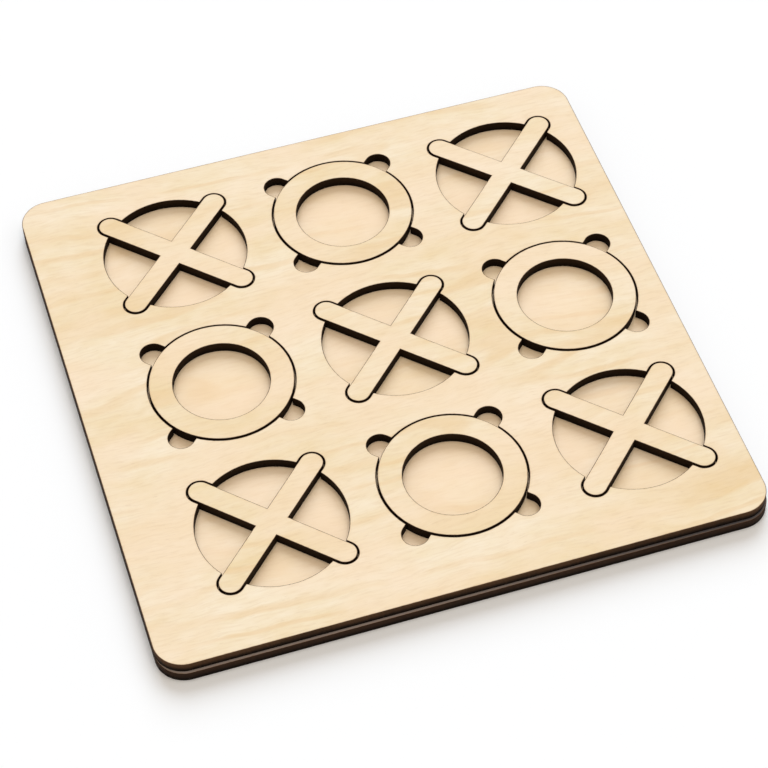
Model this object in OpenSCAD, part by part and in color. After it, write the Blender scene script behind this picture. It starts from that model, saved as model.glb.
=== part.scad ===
// Tic tac toe set cut from plywood: a solid base board, a top board glued over it with nine
// pockets cut right through, and five X pieces and four O rings lying in the pockets.
// Millimetres, +Z up. The underside of the base board is Z = 0, the origin is under the middle
// of the set and the front edge faces -Y.

/* [Board] */
// Side of the two square boards
board_w = 167; // [164:1:200]
// Radius of the corners of the boards
corner_r = 8; // [4:0.5:14]
// How far the base board is glued forward of the top board, which leaves a step along the front
front_step = 0.8; // [0.2:0.1:1.2]
// Thickness of each of the two boards
ply = 3; // [2.5:0.1:5]

/* [Grid] */
// Distance between the centres of neighbouring cells
pitch = 50; // [46:0.5:52]
// Shift of the middle cell to the right of the top board's centre
grid_x = 6; // [-6:0.5:6]
// Shift of the middle cell behind the top board's centre
grid_y = 2.5; // [-6:0.5:6]

/* [Playing pieces] */
// Length of the two crossing bars of an X piece, end to end
cross_len = 50; // [46:0.5:52]
// Width of the bars of an X piece
cross_w = 6.4; // [5:0.1:8]
// Outer diameter of an O ring
ring_od = 40; // [36:0.1:41]
// Diameter of the hole in an O ring
ring_id = 26.8; // [20:0.1:30]
// Gap left between a piece and the pocket around it
gap = 0.45; // [0.3:0.05:0.6]
// How far the pieces stand up past the top board
stand_up = 0.2; // [0:0.1:0.6]

/* [Hidden] */
$fn = 96;
quarter = 90;
diagonal = 45;
top_y = front_step / 2;
base_y = -front_step / 2;
slot_len = cross_len + 2 * gap;
slot_w = cross_w + 2 * gap;
pocket_d = ring_od + 2 * gap;
piece_t = ply + stand_up;
// Slack that carries a through cut past both faces of a board
over = 1;
// Cell columns and rows counted from the middle cell
left = -1;
middle = 0;
right = 1;
front = -1;
back = 1;

// Square board outline with four rounded corners
module board_outline() {
    reach = board_w / 2 - corner_r;
    square([2 * reach, board_w], center = true);
    square([board_w, 2 * reach], center = true);
    for (x = [-1, 1], y = [-1, 1]) translate([x * reach, y * reach]) circle(r = corner_r);
}

// Straight bar with half-round ends
module bar_outline(length, width) {
    square([length - width, width], center = true);
    for (x = [-1, 1]) translate([x * (length - width) / 2, 0]) circle(d = width);
}

// Two bars crossing at right angles, turned on to the diagonals of the board
module cross_outline(length, width) {
    for (turn = [0, quarter]) rotate(diagonal + turn) bar_outline(length, width);
}

// A pocket takes either piece: a round hole for a ring, slots for the bars of a cross
module pocket_outline() {
    circle(d = pocket_d);
    cross_outline(slot_len, slot_w);
}

// Moves a flat outline to the centre of a cell
module at_cell(column, row) {
    translate([grid_x + column * pitch, top_y + grid_y + row * pitch]) children();
}

// Piece of plywood lying on the base board inside a pocket
module on_base(column, row) {
    translate([0, 0, ply]) linear_extrude(piece_t) at_cell(column, row) children();
}

module cross_piece(column, row) {
    on_base(column, row) cross_outline(cross_len, cross_w);
}

module ring_piece(column, row) {
    on_base(column, row) difference() {
        circle(d = ring_od);
        circle(d = ring_id);
    }
}

module base_board() {
    color("burlywood") translate([0, base_y, 0]) linear_extrude(ply) board_outline();
}

module top_board() {
    color("wheat") difference() {
        translate([0, top_y, ply]) linear_extrude(ply) board_outline();
        translate([0, 0, ply - over]) linear_extrude(ply + 2 * over)
            for (column = [left, middle, right], row = [front, middle, back])
                at_cell(column, row) pocket_outline();
    }
}

module x_back_left() { color("bisque") cross_piece(left, back); }
module o_back() { color("bisque") ring_piece(middle, back); }
module x_back_right() { color("bisque") cross_piece(right, back); }
module o_left() { color("bisque") ring_piece(left, middle); }
module x_centre() { color("bisque") cross_piece(middle, middle); }
module o_right() { color("bisque") ring_piece(right, middle); }
module x_front_left() { color("bisque") cross_piece(left, front); }
module o_front() { color("bisque") ring_piece(middle, front); }
module x_front_right() { color("bisque") cross_piece(right, front); }

base_board();
top_board();
x_back_left();
o_back();
x_back_right();
o_left();
x_centre();
o_right();
x_front_left();
o_front();
x_front_right();
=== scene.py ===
"""Looks of the plywood tic tac toe set: every CAD node is replaced by a finer mesh of the same
outline, with softened cut rims, veneer faces and laser-burnt walls. Metres, +Z up."""

import math

import bmesh
import bpy
import numpy as np
from mathutils import Matrix, Vector, geometry, kdtree


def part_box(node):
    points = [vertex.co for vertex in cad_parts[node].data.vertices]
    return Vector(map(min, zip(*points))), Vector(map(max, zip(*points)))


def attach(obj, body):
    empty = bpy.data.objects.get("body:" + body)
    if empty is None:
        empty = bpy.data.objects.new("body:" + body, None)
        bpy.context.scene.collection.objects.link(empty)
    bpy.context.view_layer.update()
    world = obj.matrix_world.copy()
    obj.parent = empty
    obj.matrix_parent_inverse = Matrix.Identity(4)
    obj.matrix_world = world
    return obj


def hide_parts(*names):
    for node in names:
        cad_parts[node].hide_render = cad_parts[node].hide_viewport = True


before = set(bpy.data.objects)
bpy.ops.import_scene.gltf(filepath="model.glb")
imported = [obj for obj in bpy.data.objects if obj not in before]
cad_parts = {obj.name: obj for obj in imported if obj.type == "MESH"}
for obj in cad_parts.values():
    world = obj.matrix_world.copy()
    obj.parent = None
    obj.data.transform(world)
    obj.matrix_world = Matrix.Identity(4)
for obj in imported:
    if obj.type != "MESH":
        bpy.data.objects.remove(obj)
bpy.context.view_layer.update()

MM = 0.001
CELL_TURN = math.radians(45)
QUARTER = math.radians(90)
FULL_TURN = math.radians(360)

# Radius of the softened rim of a cut, and its stops in degrees
RIM = 0.12 * MM
RIM_ANGLES = (0, 45, 90)
# Width of the strip of face beside a cut that can take marks of the laser
SCORCH_W = 0.9 * MM
# Steps along an arc, a whole circle, a bar of a cross, a board's side and a slot's straight part
ARC_STEPS = 20
CIRCLE_STEPS = 160
ARM_STEPS = 5
SIDE_STEPS = 38
NECK_STEPS = 2
# Spacing of the points that fill a face, and how far they keep from its loops
FILL_STEP = 4 * MM
FILL_CLEAR = 0.6 * FILL_STEP
# Points closer than this are one point to the triangulation
WELD = 1e-9
# A bend sharper than this is shaded as an edge
SHARP_FROM = math.radians(20)
# Slack when corners of a CAD mesh are compared
NEARLY = 0.005 * MM

# Material slots of a sheet
FACE = 0
OUTER_CUT = 1
HOLE_CUT = 2


# ---------------------------------------------------------------- sizes read from the frame


def reach_of(node, centre):
    """Shortest distance in the flat plane from centre to any corner of the CAD node's mesh."""
    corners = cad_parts[node].data.vertices
    return min((v.co.xy - centre).length for v in corners)


def middle_of(node):
    """Centre of the CAD node in the flat plane."""
    low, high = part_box(node)
    return ((low + high) / 2).xy


def corner_radius(node):
    """Radius of a square sheet's corners: how far its straight right-hand side stops short."""
    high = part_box(node)[1]
    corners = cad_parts[node].data.vertices
    straight = [v.co.y for v in corners if v.co.x > high.x - NEARLY]
    return high.y - max(straight)


base_low, base_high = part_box("base_board")
top_low, top_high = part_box("top_board")
ring_low, ring_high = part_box("o_back")
cross_low, cross_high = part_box("x_centre")

PIECES = [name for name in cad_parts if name[:2] in ("x_", "o_")]
CENTRES = {name: middle_of(name) for name in PIECES}

ring_r = (ring_high.x - ring_low.x) / 2
ring_hole_r = reach_of("o_back", CENTRES["o_back"])
cross_w = reach_of("x_centre", CENTRES["x_centre"]) * math.sqrt(2)
tip_reach = (cross_high.x - cross_low.x - cross_w) / math.sqrt(2)
pocket_r = reach_of("top_board", CENTRES["o_back"])
gap = pocket_r - ring_r


# ---------------------------------------------------------------- outlines


def heading(angle):
    """Flat unit vector at an angle from +X towards +Y."""
    return Vector((math.cos(angle), math.sin(angle)))


def arc(centre, radius, start, end, steps):
    """Points along an arc, with the start and without the end."""
    return [centre + radius * heading(start + (end - start) * i / steps) for i in range(steps)]


def line(start, end, steps):
    """Points along a straight run, with the start and without the end."""
    return [start.lerp(end, i / steps) for i in range(steps)]


def board_outline(node):
    """Rounded square of a board. Like every outline here, it gives the loop of points that lies
    an inset into the wood."""
    low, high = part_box(node)
    centre = middle_of(node)
    radius = corner_radius(node)
    reach = math.sqrt(2) * ((high.x - low.x) / 2 - radius)

    def at(inset):
        points = []
        for k in range(4):
            here = centre + reach * heading(CELL_TURN + k * QUARTER)
            after = centre + reach * heading(CELL_TURN + (k + 1) * QUARTER)
            end = (k + 1) * QUARTER
            points += arc(here, radius - inset, k * QUARTER, end, ARC_STEPS)
            out = (radius - inset) * heading(end)
            points += line(here + out, after + out, SIDE_STEPS)
        return points

    return at


def circle_outline(centre, radius, into_wood):
    """Circle; into_wood is -1 when the wood lies inside it and 1 when it lies outside."""

    def at(inset):
        return arc(centre, radius + into_wood * inset, 0, FULL_TURN, CIRCLE_STEPS)

    return at


def cross_outline(centre):
    """Two crossing round-ended bars on the diagonals."""

    def at(inset):
        half = cross_w / 2 - inset
        points = []
        for k in range(4):
            way = CELL_TURN + k * QUARTER
            tip = centre + tip_reach * heading(way)
            before = centre + half * math.sqrt(2) * heading(way - CELL_TURN)
            after = centre + half * math.sqrt(2) * heading(way + CELL_TURN)
            points += line(before, tip + half * heading(way - QUARTER), ARM_STEPS)
            points += arc(tip, half, way - QUARTER, way + QUARTER, ARC_STEPS)
            points += line(tip + half * heading(way + QUARTER), after, ARM_STEPS)
        return points

    return at


def pocket_outline(centre):
    """Round hole with the four ends of the crossed slots standing out of it."""

    def at(inset):
        radius = pocket_r + inset
        half = cross_w / 2 + gap + inset
        spread = math.asin(half / radius)
        points = []
        for k in range(4):
            way = CELL_TURN + k * QUARTER
            tip = centre + tip_reach * heading(way)
            mouth_in = centre + radius * heading(way - spread)
            mouth_out = centre + radius * heading(way + spread)
            points += arc(centre, radius, way - QUARTER + spread, way - spread, ARC_STEPS)
            points += line(mouth_in, tip + half * heading(way - QUARTER), NECK_STEPS)
            points += arc(tip, half, way - QUARTER, way + QUARTER, ARC_STEPS)
            points += line(tip + half * heading(way + QUARTER), mouth_out, NECK_STEPS)
        return points

    return at


# ---------------------------------------------------------------- meshes


def cut_profile(low, high):
    """Cross-section of a cut edge from the lower face to the upper: inset, height, distance
    from the cut along the face."""
    rounded = [(1 - math.sin(math.radians(a)), 1 - math.cos(math.radians(a))) for a in RIM_ANGLES]
    lower = [(RIM * i, low + RIM * h, 0.0) for i, h in rounded]
    upper = [(i, high + low - z, d) for i, z, d in reversed(lower)]
    return [(SCORCH_W, low, SCORCH_W), *lower, *upper, (SCORCH_W, high, SCORCH_W)]


def in_wood(spots, loops):
    """True for each flat spot that an odd number of the closed loops goes round."""
    x, y = np.array(spots).T
    inside = np.zeros(len(spots), bool)
    for loop in loops:
        ends = np.array(loop)
        for (x0, y0), (x1, y1) in zip(ends, np.roll(ends, -1, axis=0)):
            if y0 != y1:
                crosses = (y0 > y) != (y1 > y)
                inside ^= crosses & (x < x0 + (y - y0) * (x1 - x0) / (y1 - y0))
    return inside


def face_filling(loops):
    """Triangles between closed loops of flat points, with inner points on a loose grid. Gives
    the points, the triangles and, for each point, the given points that it came from."""
    points = [p for loop in loops for p in loop]
    edges = []
    for loop in loops:
        first = len(edges)
        count = len(loop)
        edges += [(first + i, first + (i + 1) % count) for i in range(count)]
    tree = kdtree.KDTree(len(points))
    for i, p in enumerate(points):
        tree.insert(p.to_3d(), i)
    tree.balance()
    low = Vector((min(p.x for p in points), min(p.y for p in points)))
    high = Vector((max(p.x for p in points), max(p.y for p in points)))
    columns, rows = (math.ceil(side / FILL_STEP) for side in high - low)
    for row in range(rows):
        for column in range(columns):
            spot = low + FILL_STEP * Vector((column + 0.5 * (row % 2), row))
            if tree.find(spot.to_3d())[2] > FILL_CLEAR:
                points.append(spot)
    convex_whole = 0
    filled = geometry.delaunay_2d_cdt(points, edges, [], convex_whole, WELD)
    corners, triangles, sources = filled[0], filled[2], filled[3]
    centres = [sum((corners[i] for i in t), Vector((0, 0))) / 3 for t in triangles]
    kept = [t for t, wood in zip(triangles, in_wood(centres, loops)) if wood]
    return corners, kept, sources


def add_wall(mesh, from_cut, outline, profile, slot):
    """Rings of faces that follow one cut up its profile. Gives the lowest and highest loops."""
    rings = []
    for inset, height, distance in profile:
        ring = []
        for point in outline(inset):
            vertex = mesh.verts.new((point.x, point.y, height))
            vertex[from_cut] = distance
            ring.append(vertex)
        rings.append(ring)
    last_step = len(rings) - 2
    for step in range(len(rings) - 1):
        lower, upper = rings[step], rings[step + 1]
        for i in range(len(lower)):
            j = (i + 1) % len(lower)
            face = mesh.faces.new((lower[i], lower[j], upper[j], upper[i]))
            face.material_index = FACE if step in (0, last_step) else slot
    return rings[0], rings[-1]


def fill_face(mesh, from_cut, loops, height):
    """Triangles that close a face of the sheet between the loops of vertices."""
    flat = [[v.co.xy.copy() for v in loop] for loop in loops]
    known = [v for loop in loops for v in loop]
    points, triangles, origins = face_filling(flat)
    vertices = {}
    for triangle in triangles:
        for i in triangle:
            if i in vertices:
                continue
            source = origins[i][0] if origins[i] else len(known)
            if source < len(known):
                vertices[i] = known[source]
            else:
                vertices[i] = mesh.verts.new((points[i].x, points[i].y, height))
                vertices[i][from_cut] = SCORCH_W
        mesh.faces.new([vertices[i] for i in triangle])


def sheet_mesh(name, outlines, low, high):
    """A closed plywood sheet cut along every outline; the first is its outer edge."""
    mesh = bmesh.new()
    from_cut = mesh.verts.layers.float.new("from_cut")
    profile = cut_profile(low, high)
    lower_loops, upper_loops = [], []
    for number, outline in enumerate(outlines):
        slot = OUTER_CUT if number == 0 else HOLE_CUT
        lowest, highest = add_wall(mesh, from_cut, outline, profile, slot)
        lower_loops.append(lowest)
        upper_loops.append(highest)
    fill_face(mesh, from_cut, lower_loops, low)
    fill_face(mesh, from_cut, upper_loops, high)
    bmesh.ops.recalc_face_normals(mesh, faces=mesh.faces)
    for face in mesh.faces:
        face.smooth = True
    data = bpy.data.meshes.new(name)
    mesh.to_mesh(data)
    mesh.free()
    data.set_sharp_from_angle(angle=SHARP_FROM)
    piece = bpy.data.objects.new(name, data)
    bpy.context.scene.collection.objects.link(piece)
    return piece


# ---------------------------------------------------------------- materials


class Shader:
    """Short spellings for one material's nodes."""

    def __init__(self, name):
        self.material = bpy.data.materials.new(name)
        self.material.use_nodes = True
        self.tree = self.material.node_tree
        self.surface = self.tree.nodes["Principled BSDF"]

    def feed(self, socket, value):
        """Link another node's output to a socket, or set the socket to a plain value."""
        if isinstance(value, bpy.types.NodeSocket):
            self.tree.links.new(value, socket)
        else:
            socket.default_value = value

    def node(self, kind, values=(), **settings):
        """A new node with its settings and with values fed to its inputs."""
        made = self.tree.nodes.new(kind)
        for key, value in settings.items():
            setattr(made, key, value)
        for socket, value in dict(values).items():
            self.feed(made.inputs[socket], value)
        return made

    def math(self, operation, first, second=0.0, third=0.0):
        values = {0: first, 1: second, 2: third}
        return self.node("ShaderNodeMath", values, operation=operation).outputs[0]

    def shifted(self, place, shift):
        values = {"Vector": place, "Location": shift}
        return self.node("ShaderNodeMapping", values).outputs["Vector"]

    def noise(self, place, per_metre, detail=2.0, roughness=0.5):
        """Cloudy value with so many clouds per metre along X, Y and Z."""
        stretch = {"Vector": place, "Scale": per_metre}
        stretched = self.node("ShaderNodeMapping", stretch).outputs["Vector"]
        values = {"Vector": stretched, "Scale": 1.0, "Detail": detail, "Roughness": roughness}
        return self.node("ShaderNodeTexNoise", values).outputs["Fac"]

    def swing(self, noise, amount, around=0.0):
        """Noise turned into a value that swings by the amount about another value."""
        centred = self.math("SUBTRACT", noise, 0.5)
        return self.math("MULTIPLY_ADD", centred, amount, around)

    def clamped(self, value):
        return self.node("ShaderNodeClamp", {"Value": value}).outputs["Result"]

    def step(self, value, start, end, low=0.0, high=1.0):
        """Smooth step of value from start to end."""
        values = {"Value": value, "From Min": start, "From Max": end}
        values |= {"To Min": low, "To Max": high}
        made = self.node("ShaderNodeMapRange", values, interpolation_type="SMOOTHSTEP")
        return made.outputs["Result"]

    def mix(self, factor, first, second):
        """Colour mix; the node keeps its colour sockets after those of its other data types."""
        made = self.node("ShaderNodeMix", data_type="RGBA")
        colours = [s for s in made.inputs if s.type == "RGBA"]
        self.feed(made.inputs[0], factor)
        self.feed(colours[0], first)
        self.feed(colours[1], second)
        return next(s for s in made.outputs if s.type == "RGBA")

    def bump(self, height, strength, distance):
        values = {"Height": height, "Strength": strength, "Distance": distance}
        return self.node("ShaderNodeBump", values).outputs["Normal"]

    def finish(self, colour, roughness, specular, normal):
        """Feed the surface and give the material."""
        self.feed(self.surface.inputs["Base Color"], colour)
        self.feed(self.surface.inputs["Roughness"], roughness)
        self.feed(self.surface.inputs["Specular IOR Level"], specular)
        self.feed(self.surface.inputs["Normal"], normal)
        return self.material


def srgb(red, green, blue):
    """Linear colour of a display colour given in 0 to 255."""
    shown = [c / 255 for c in (red, green, blue)]
    linear = [c / 12.92 if c < 0.04045 else ((c + 0.055) / 1.055) ** 2.4 for c in shown]
    return (*linear, 1.0)


# Bare birch
CREAM = srgb(242, 226, 199)
STRAW = srgb(232, 208, 164)
PEACH = srgb(242, 215, 184)
HONEY = srgb(226, 188, 132)
GRAIN = srgb(208, 174, 127)
PORE = srgb(176, 134, 88)
BLUSH = srgb(247, 215, 178)
# Marks of the laser on a face
SCORCH = srgb(120, 78, 42)
SMOKE = srgb(155, 141, 134)
RIGHT_END_DARK = srgb(74, 73, 80)
# Burnt walls of a cut
TOAST = srgb(90, 63, 42)
UMBER = srgb(62, 42, 29)
# Darker brown of walls in the pockets and round the pieces: burnt wood darkened as painted shade
# of the pockets
SOOT_AND_SHADE = srgb(50, 34, 22)
# Darkest char of a cut, which also serves as the painted shade at the foot of every wall
CHAR_AND_SHADE = srgb(19, 12, 7)

# How far the grain lines bend across the sheet, in slow curves and in short waves
SLOW_BEND = 14 * MM
SHORT_BEND = 4 * MM
# Waves of growth lines over the whole range of their noise
GROWTH_WAVES = 42.0
# How strongly each mark colours the wood, from 0 to 1
PEACH_SHARE = 0.5
LINE_SHARE = 0.38
STREAK_SHARE = 0.24
PORE_SHARE = 0.2
HAZE_SHARE = 0.14
SCORCH_SHARE = 0.75
GLUE_SHARE = 0.45
# Specular level of a face, of a cut and of the floor
VENEER_GLOSS = 0.3
CUT_GLOSS = 0.08
FLOOR_GLOSS = 0.1
FLOOR_ROUGHNESS = 0.8
# Where each mark of the laser starts and where it is full, measured from the cut along the
# face. Noise takes up to RAGGED off that distance for the haze and the scorch, so these two
# are full below zero.
RAGGED = 0.25 * MM
HAZE_REACH = (0.75 * MM, -0.1 * MM)
SCORCH_REACH = (0.06 * MM, -0.16 * MM)
SMOKE_REACH = (SCORCH_W - 0.01 * MM, SCORCH_W - 0.1 * MM)
# The stained strip beside the cut darkens from here to the right-hand edge, as X over half the
# width of the set
DARKENS_FROM = -0.35
# Strength and depth of the bumps on a face and on a cut
VENEER_BUMPS = (0.22, 0.06 * MM)
CUT_BUMPS = (0.5, 0.12 * MM)


def bent_grain(shader, place):
    """Place on the sheet, moved across it so that the grain along X bends."""
    slow = shader.noise(place, (11, 9, 1), detail=1.0)
    short = shader.noise(place, (52, 70, 1))
    lift = shader.swing(short, SHORT_BEND, shader.swing(slow, SLOW_BEND))
    rise = shader.node("ShaderNodeCombineXYZ", {"Y": lift}).outputs["Vector"]
    return shader.node("ShaderNodeVectorMath", {0: place, 1: rise}, operation="ADD").outputs[0]


def birch_colour(shader, bent, tone, fibre, pores):
    """Cream to straw wood with peach patches, honey growth lines, streaks and pores."""
    bands = shader.noise(bent, (11, 62, 1), detail=3.0)
    mottle = shader.noise(bent, (130, 330, 1), roughness=0.55)
    patches = shader.noise(bent, (24, 38, 1))
    contours = shader.noise(bent, (6, 42, 1), detail=1.0, roughness=0.4)
    lines = shader.math("SINE", shader.math("MULTIPLY", contours, GROWTH_WAVES))
    lines = shader.math("MULTIPLY", shader.step(lines, 0.55, 1.0), shader.step(patches, 0.4, 0.65))

    straw = shader.math("MULTIPLY_ADD", shader.step(bands, 0.28, 0.72), 0.7, 0.7 * tone - 0.15)
    straw = shader.clamped(shader.swing(mottle, 1.1, straw))
    colour = shader.mix(straw, CREAM, STRAW)
    peach = shader.math("MULTIPLY", shader.step(patches, 0.62, 0.36), PEACH_SHARE)
    colour = shader.mix(peach, colour, PEACH)
    colour = shader.mix(shader.math("MULTIPLY", lines, LINE_SHARE), colour, HONEY)
    streaks = shader.math("MULTIPLY", shader.step(fibre, 0.42, 0.78), STREAK_SHARE)
    colour = shader.mix(streaks, colour, GRAIN)
    return shader.mix(shader.math("MULTIPLY", pores, PORE_SHARE), colour, PORE)


def veneer(name, shift, tone, rosy=0.0, smoked=False):
    """Bare birch face, grain along X. tone turns cream to straw, rosy blushes it, and smoke stains
    the strip beside its cut, darker towards the right."""
    shader = Shader(name)
    on_set = shader.node("ShaderNodeTexCoord").outputs["Object"]
    place = shader.shifted(on_set, shift)
    bent = bent_grain(shader, place)
    fibre = shader.noise(bent, (170, 1300, 1), detail=3.0, roughness=0.6)
    pores = shader.step(shader.noise(bent, (420, 4600, 1), detail=1.0), 0.66, 0.78)
    colour = birch_colour(shader, bent, tone, fibre, pores)
    if rosy:
        colour = shader.mix(rosy, colour, BLUSH)

    from_cut = shader.node("ShaderNodeAttribute", attribute_name="from_cut").outputs["Fac"]
    if smoked:
        stain = shader.step(from_cut, *SMOKE_REACH)
        # The stained strip goes darker towards the right-hand edge of the set
        across = shader.node("ShaderNodeSeparateXYZ", {"Vector": on_set}).outputs["X"]
        to_right = shader.step(across, DARKENS_FROM * base_high.x, base_high.x)
        colour = shader.mix(stain, colour, shader.mix(to_right, SMOKE, RIGHT_END_DARK))
    ragged = shader.noise(place, (900, 900, 1))
    depth = shader.math("MULTIPLY_ADD", ragged, -RAGGED, from_cut)
    haze = shader.math("MULTIPLY", shader.step(depth, *HAZE_REACH), HAZE_SHARE)
    colour = shader.mix(haze, colour, GRAIN)
    scorch = shader.math("MULTIPLY", shader.step(depth, *SCORCH_REACH), SCORCH_SHARE)
    colour = shader.mix(scorch, colour, SCORCH)

    roughness = shader.math("MULTIPLY_ADD", fibre, 0.22, 0.5)
    relief = shader.math("MULTIPLY_ADD", pores, -0.8, fibre)
    return shader.finish(colour, roughness, VENEER_GLOSS, shader.bump(relief, *VENEER_BUMPS))


def burnt_cut(name, low, high, brown):
    """Laser-burnt wall of a three-ply sheet lying between two heights: brown near its top and
    darker near its foot, partly deeper char and partly painted shade where the wall meets what
    lies below it, with a darker line at each glue joint."""
    shader = Shader(name)
    place = shader.node("ShaderNodeTexCoord").outputs["Object"]
    streaks = shader.noise(place, (1300, 1300, 70), detail=3.0, roughness=0.6)
    blotches = shader.noise(place, (70, 70, 260), detail=3.0, roughness=0.55)
    fuzz = shader.noise(place, (2600, 2600, 2600), roughness=0.6)

    height = shader.node("ShaderNodeSeparateXYZ", {"Vector": place}).outputs["Z"]
    level = shader.math("DIVIDE", shader.math("SUBTRACT", height, low), high - low)
    off_middle = shader.math("ABSOLUTE", shader.math("MULTIPLY_ADD", level, 2.0, -1.0))
    off_glue = shader.math("ABSOLUTE", shader.math("SUBTRACT", off_middle, 0.5))
    glue = shader.step(off_glue, 0.1, 0.0)

    # Brown at the top of the wall, fading to the darkest colour at its foot: partly deeper char,
    # partly painted shade where the wall meets what lies below it
    warm = shader.swing(streaks, 0.6, shader.step(level, 0.15, 0.85, low=0.05))
    dimming = shader.step(blotches, 0.25, 0.7, low=0.6, high=1.15)
    warm = shader.math("MULTIPLY", warm, dimming)
    warm = shader.clamped(shader.swing(fuzz, 0.3, warm))
    colour = shader.mix(warm, CHAR_AND_SHADE, brown)
    colour = shader.mix(shader.math("MULTIPLY", glue, GLUE_SHARE), colour, CHAR_AND_SHADE)

    roughness = shader.math("MULTIPLY_ADD", streaks, 0.25, 0.65)
    relief = shader.math("MULTIPLY_ADD", fuzz, 0.5, streaks)
    relief = shader.math("MULTIPLY_ADD", glue, -0.4, relief)
    return shader.finish(colour, roughness, CUT_GLOSS, shader.bump(relief, *CUT_BUMPS))


# ---------------------------------------------------------------- the set

# Tone of each piece's veneer, from cream to straw
TONES = {
    "x_back_left": 0.6,
    "o_back": 0.7,
    "x_back_right": 0.3,
    "o_left": 0.85,
    "x_centre": 0.6,
    "o_right": 0.45,
    "x_front_left": 0.7,
    "o_front": 0.7,
    "x_front_right": 0.45,
}
BOARD_TONE = 0.35
BASE_BLUSH = 0.4
# Each further piece takes its veneer from this far along the same endless sheet
VENEER_STEP = Vector((0.37, 0.53, 0.0))


def dress(piece, node, body, materials):
    """Give a sheet its materials, and let it ride on a body in place of its CAD node."""
    for material in materials:
        piece.data.materials.append(material)
    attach(piece, body)
    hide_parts(node)


base_cut = burnt_cut("base_burnt_cut", base_low.z, base_high.z, UMBER)
top_cut = burnt_cut("top_burnt_cut", top_low.z, top_high.z, TOAST)
# Walls in the pockets and round the pieces take a darker burnt brown than the outer edge, as
# painted shade of the pockets.
pocket_cut_shaded = burnt_cut("pocket_burnt_cut_shaded", top_low.z, ring_high.z, SOOT_AND_SHADE)

base = sheet_mesh("base_sheet", [board_outline("base_board")], base_low.z, base_high.z)
base_face = veneer("base_veneer", (0.0, 0.0, 0.0), BOARD_TONE, BASE_BLUSH, smoked=True)
dress(base, "base_board", "board", (base_face, base_cut))

top_outlines = [board_outline("top_board")]
top_outlines += [pocket_outline(centre) for centre in CENTRES.values()]
top = sheet_mesh("top_sheet", top_outlines, top_low.z, top_high.z)
top_face = veneer("top_veneer", VENEER_STEP, BOARD_TONE)
dress(top, "top_board", "board", (top_face, top_cut, pocket_cut_shaded))

for number, (node, centre) in enumerate(CENTRES.items(), start=2):
    low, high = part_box(node)
    if node.startswith("x_"):
        outlines, slot = [cross_outline(centre)], "cross_plywood"
    else:
        rim = circle_outline(centre, ring_r, -1)
        hole = circle_outline(centre, ring_hole_r, 1)
        outlines, slot = [rim, hole], "ring_plywood"
    piece = sheet_mesh(node + "_piece", outlines, low.z, high.z)
    face = veneer(node + "_veneer", VENEER_STEP * number, TONES[node])
    dress(piece, node, node, (face, pocket_cut_shaded, pocket_cut_shaded))


# ---------------------------------------------------------------- floor, light and camera

# Metres from the middle of the floor to each of its sides
FLOOR_REACH = 12.0
FLOOR_WHITE = (0.93, 0.93, 0.93, 1.0)

WARM = (1.085, 1.0, 0.895)
COOL = (0.89, 1.0, 1.138)
SKY_STRENGTH = 0.218
SOFTBOX_ANGLE = math.radians(44)
# Azimuth and elevation in degrees, strength and tint. Azimuth 0 is in front, 90 at the right.
LAMPS = {
    "overhead": (0, 85, 1.235, WARM),
    "behind": (165, 38, 2.11, COOL),
    "right": (90, 50, 0.226, COOL),
}

# The photograph's viewing angle, in degrees
VIEW_AZIMUTH = -16.5
VIEW_ELEVATION = 50.95
VIEW_ROLL = -1.38
VIEW_DISTANCE = 705.6 * MM
AIM = Vector((-2.0 * MM, -11.9 * MM, top_high.z))
LENS_MM = 120.96
SENSOR_MM = 36
CLIP_START = 10 * MM


def floor():
    reach = math.sqrt(2) * FLOOR_REACH
    corners = [(reach * heading(CELL_TURN + k * QUARTER)).to_3d() for k in range(4)]
    mesh = bpy.data.meshes.new("floor")
    mesh.from_pydata(corners, [], [(0, 1, 2, 3)])
    plane = bpy.data.objects.new("floor", mesh)
    bpy.context.scene.collection.objects.link(plane)
    shader = Shader("floor_white")
    shader.feed(shader.surface.inputs["Base Color"], FLOOR_WHITE)
    shader.feed(shader.surface.inputs["Roughness"], FLOOR_ROUGHNESS)
    shader.feed(shader.surface.inputs["Specular IOR Level"], FLOOR_GLOSS)
    mesh.materials.append(shader.material)


def aimed_from(azimuth, elevation):
    """Unit vector from the object towards a viewer or lamp."""
    a, e = math.radians(azimuth), math.radians(elevation)
    return Vector((math.sin(a) * math.cos(e), -math.cos(a) * math.cos(e), math.sin(e)))


def lamp(name, azimuth, elevation, strength, tint):
    """A distant round softbox."""
    light = bpy.data.lights.new(name, "SUN")
    light.angle = SOFTBOX_ANGLE
    light.energy = strength
    light.color = tint
    holder = bpy.data.objects.new(name, light)
    way = aimed_from(azimuth, elevation)
    holder.location = way
    holder.rotation_euler = way.to_track_quat("Z", "Y").to_euler()
    bpy.context.scene.collection.objects.link(holder)


def sky(strength, tint):
    """Soft fill light from all round."""
    world = bpy.data.worlds.new("studio")
    world.use_nodes = True
    background = world.node_tree.nodes["Background"]
    background.inputs["Color"].default_value = (*tint, 1.0)
    background.inputs["Strength"].default_value = strength
    bpy.context.scene.world = world


def camera():
    data = bpy.data.cameras.new("camera")
    data.lens = LENS_MM
    data.sensor_width = SENSOR_MM
    data.clip_start = CLIP_START
    holder = bpy.data.objects.new("camera", data)
    way = aimed_from(VIEW_AZIMUTH, VIEW_ELEVATION)
    holder.location = AIM + way * VIEW_DISTANCE
    upright = way.to_track_quat("Z", "Y").to_matrix().to_4x4()
    roll = Matrix.Rotation(math.radians(VIEW_ROLL), 4, "Z")
    holder.rotation_euler = (upright @ roll).to_euler()
    bpy.context.scene.collection.objects.link(holder)
    bpy.context.scene.camera = holder


floor()
sky(SKY_STRENGTH, WARM)
for name, settings in LAMPS.items():
    lamp(name, *settings)
camera()
bpy.context.scene.view_settings.view_transform = "Standard"
